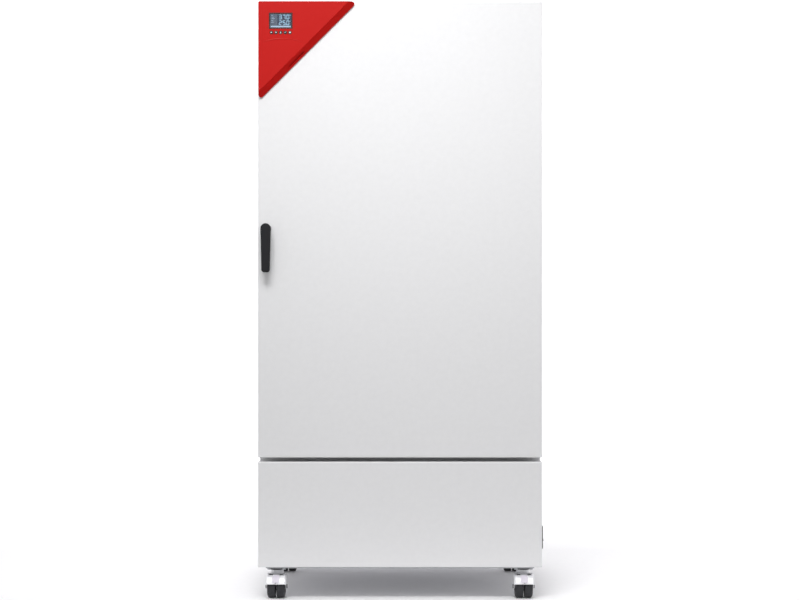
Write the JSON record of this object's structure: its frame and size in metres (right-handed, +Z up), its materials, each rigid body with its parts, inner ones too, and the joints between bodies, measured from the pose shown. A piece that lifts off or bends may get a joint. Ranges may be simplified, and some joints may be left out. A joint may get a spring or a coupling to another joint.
{
  "type": "cooling incubator",
  "caption": "Upright cooling incubator with a solid outer door, inner glass door, triangular corner control panel, wire racks, a refrigeration unit below and twin-wheel castors.",
  "frame": {"origin": "on the floor below the middle of the overall box", "axes": "+Z up, -Y out of the front door, +X to the right as seen from the front"},
  "size_m": [0.9495, 0.838, 1.945],
  "materials": {
    "white_paint": "satin",
    "stainless": "satin",
    "zinc_plate": "satin",
    "zinc_fork": "satin",
    "hinge_steel": "satin",
    "rack_wire": "gloss",
    "heater_steel": "satin",
    "motor_metal": "satin",
    "light_alloy": "satin",
    "dark_sheet": "satin",
    "black_shell": "satin",
    "pale_plastic": "matte",
    "foam": "matte",
    "silicone": "matte",
    "grey_rubber": "matte",
    "black_plastic": "satin",
    "dark_plastic": "satin",
    "red_plastic": "satin",
    "display_glass": "gloss",
    "button_black": "satin",
    "clear_glass": "gloss",
    "wheel_plastic": "satin",
    "pedal_plastic": "satin"
  },
  "bodies": {
    "cabinet": {"base_chassis": "zinc_plate", "outer_housing": "white_paint", "machine_deck": "zinc_plate", "rear_panel": "white_paint", "rear_grille": "white_paint", "mains_inlet": "black_plastic", "inner_chamber": "stainless", "insulation_foam": "foam", "front_frame": "pale_plastic", "left_air_guide": "stainless", "right_air_guide": "stainless", "rear_partition": "stainless", "temperature_sensor": "stainless", "circulation_fan_motor": "motor_metal", "heater_coil": "heater_steel", "evaporator_coil": "light_alloy", "condenser_coil": "light_alloy", "condenser_fan_shroud": "dark_sheet", "compressor": "black_shell", "access_port_sleeve": "pale_plastic", "lower_front_cover": "white_paint", "cabinet_hinge_leaves": "hinge_steel", "latch_keeper": "hinge_steel", "connection_panel": "dark_plastic", "castor_plates": "zinc_plate"},
    "outer_door": {"door_skin": "white_paint", "door_liner": "pale_plastic", "door_insulation": "foam", "door_gasket": "grey_rubber", "door_hinge_leaves": "hinge_steel", "control_panel": "red_plastic", "display_window": "display_glass", "handle_base": "black_plastic"},
    "door_handle": {"handle_lever": "black_plastic", "latch_cam": "hinge_steel"},
    "inner_door": {"glass_pane": "clear_glass", "glass_seal": "grey_rubber", "glass_hinge_plates": "hinge_steel", "glass_door_knob": "black_plastic"},
    "upper_rack": {"upper_rack": "rack_wire"},
    "lower_rack": {"lower_rack": "rack_wire"},
    "circulation_fan": {"circulation_fan": "light_alloy"},
    "condenser_fan": {"condenser_fan": "light_alloy"},
    "port_plug": {"access_port_plug": "silicone"},
    "power_switch": {"power_switch": "button_black"},
    "button_1": {"button_1": "button_black"},
    "button_2": {"button_2": "button_black"},
    "button_3": {"button_3": "button_black"},
    "button_4": {"button_4": "button_black"},
    "button_5": {"button_5": "button_black"},
    "front_left_fork": {"front_left_castor_fork": "zinc_fork"},
    "front_left_wheels": {"front_left_castor_wheels": "wheel_plastic"},
    "front_left_pedal": {"front_left_brake_pedal": "pedal_plastic"},
    "front_right_fork": {"front_right_castor_fork": "zinc_fork"},
    "front_right_wheels": {"front_right_castor_wheels": "wheel_plastic"},
    "front_right_pedal": {"front_right_brake_pedal": "pedal_plastic"},
    "rear_left_fork": {"rear_left_castor_fork": "zinc_fork"},
    "rear_left_wheels": {"rear_left_castor_wheels": "wheel_plastic"},
    "rear_right_fork": {"rear_right_castor_fork": "zinc_fork"},
    "rear_right_wheels": {"rear_right_castor_wheels": "wheel_plastic"}
  },
  "joints": [
    {"name": "outer_door_hinge", "type": "hinge", "parent": "cabinet", "child": "outer_door", "pos_m": [0.4595, -0.302, 1.20325], "axis": [0, 0, 1], "range_deg": [0, 120]},
    {"name": "handle_turn", "type": "hinge", "parent": "outer_door", "child": "door_handle", "pos_m": [-0.435, -0.381, 1.2055], "axis": [0, -1, 0], "range_deg": [0, 90]},
    {"name": "inner_door_hinge", "type": "hinge", "parent": "cabinet", "child": "inner_door", "pos_m": [0.352, -0.298, 1.21], "axis": [0, 0, 1], "range_deg": [0, 120]},
    {"name": "upper_rack_slide", "type": "slide", "parent": "cabinet", "child": "upper_rack", "axis": [0, -1, 0], "range_m": [0, 0.43]},
    {"name": "lower_rack_slide", "type": "slide", "parent": "cabinet", "child": "lower_rack", "axis": [0, -1, 0], "range_m": [0, 0.43]},
    {"name": "button_1_press", "type": "slide", "parent": "outer_door", "child": "button_1", "axis": [0, 1, 0], "range_m": [0, 0.0008], "stiffness_N_per_m": 600},
    {"name": "button_2_press", "type": "slide", "parent": "outer_door", "child": "button_2", "axis": [0, 1, 0], "range_m": [0, 0.0008], "stiffness_N_per_m": 600},
    {"name": "button_3_press", "type": "slide", "parent": "outer_door", "child": "button_3", "axis": [0, 1, 0], "range_m": [0, 0.0008], "stiffness_N_per_m": 600},
    {"name": "button_4_press", "type": "slide", "parent": "outer_door", "child": "button_4", "axis": [0, 1, 0], "range_m": [0, 0.0008], "stiffness_N_per_m": 600},
    {"name": "button_5_press", "type": "slide", "parent": "outer_door", "child": "button_5", "axis": [0, 1, 0], "range_m": [0, 0.0008], "stiffness_N_per_m": 600},
    {"name": "circulation_fan_spin", "type": "hinge", "parent": "cabinet", "child": "circulation_fan", "pos_m": [0, 0.2315, 1.135], "axis": [0, -1, 0], "continuous": true},
    {"name": "condenser_fan_spin", "type": "hinge", "parent": "cabinet", "child": "condenser_fan", "pos_m": [-0.18, 0.326, 0.2395], "axis": [0, -1, 0], "continuous": true},
    {"name": "port_plug_slide", "type": "slide", "parent": "cabinet", "child": "port_plug", "axis": [-1, 0, 0], "range_m": [0, 0.075]},
    {"name": "power_switch_rock", "type": "hinge", "parent": "cabinet", "child": "power_switch", "pos_m": [0.47, -0.262, 0.1895], "axis": [0, 1, 0], "range_deg": [0, 14]},
    {"name": "front_left_swivel", "type": "hinge", "parent": "cabinet", "child": "front_left_fork", "pos_m": [-0.4045, -0.3155, 0.09], "axis": [0, 0, 1], "continuous": true},
    {"name": "front_left_wheel_spin", "type": "hinge", "parent": "front_left_fork", "child": "front_left_wheels", "pos_m": [-0.4045, -0.3435, 0.0375], "axis": [1, 0, 0], "continuous": true},
    {"name": "front_left_brake_press", "type": "hinge", "parent": "front_left_fork", "child": "front_left_pedal", "pos_m": [-0.4045, -0.3435, 0.0375], "axis": [1, 0, 0], "range_deg": [0, 12]},
    {"name": "front_right_swivel", "type": "hinge", "parent": "cabinet", "child": "front_right_fork", "pos_m": [0.4045, -0.3155, 0.09], "axis": [0, 0, 1], "continuous": true},
    {"name": "front_right_wheel_spin", "type": "hinge", "parent": "front_right_fork", "child": "front_right_wheels", "pos_m": [0.4045, -0.3435, 0.0375], "axis": [1, 0, 0], "continuous": true},
    {"name": "front_right_brake_press", "type": "hinge", "parent": "front_right_fork", "child": "front_right_pedal", "pos_m": [0.4045, -0.3435, 0.0375], "axis": [1, 0, 0], "range_deg": [0, 12]},
    {"name": "rear_left_swivel", "type": "hinge", "parent": "cabinet", "child": "rear_left_fork", "pos_m": [-0.4045, 0.267, 0.09], "axis": [0, 0, 1], "continuous": true},
    {"name": "rear_left_wheel_spin", "type": "hinge", "parent": "rear_left_fork", "child": "rear_left_wheels", "pos_m": [-0.4045, 0.239, 0.0375], "axis": [1, 0, 0], "continuous": true},
    {"name": "rear_right_swivel", "type": "hinge", "parent": "cabinet", "child": "rear_right_fork", "pos_m": [0.4045, 0.267, 0.09], "axis": [0, 0, 1], "continuous": true},
    {"name": "rear_right_wheel_spin", "type": "hinge", "parent": "rear_right_fork", "child": "rear_right_wheels", "pos_m": [0.4045, 0.239, 0.0375], "axis": [1, 0, 0], "continuous": true}
  ],
  "couplings": [
    {"joint": "inner_door_hinge", "follows": "outer_door_hinge", "ratio": 1},
    {"joint": "upper_rack_slide", "follows": "outer_door_hinge", "m_per_rad": 0.05},
    {"joint": "lower_rack_slide", "follows": "outer_door_hinge", "m_per_rad": 0.05}
  ]
}
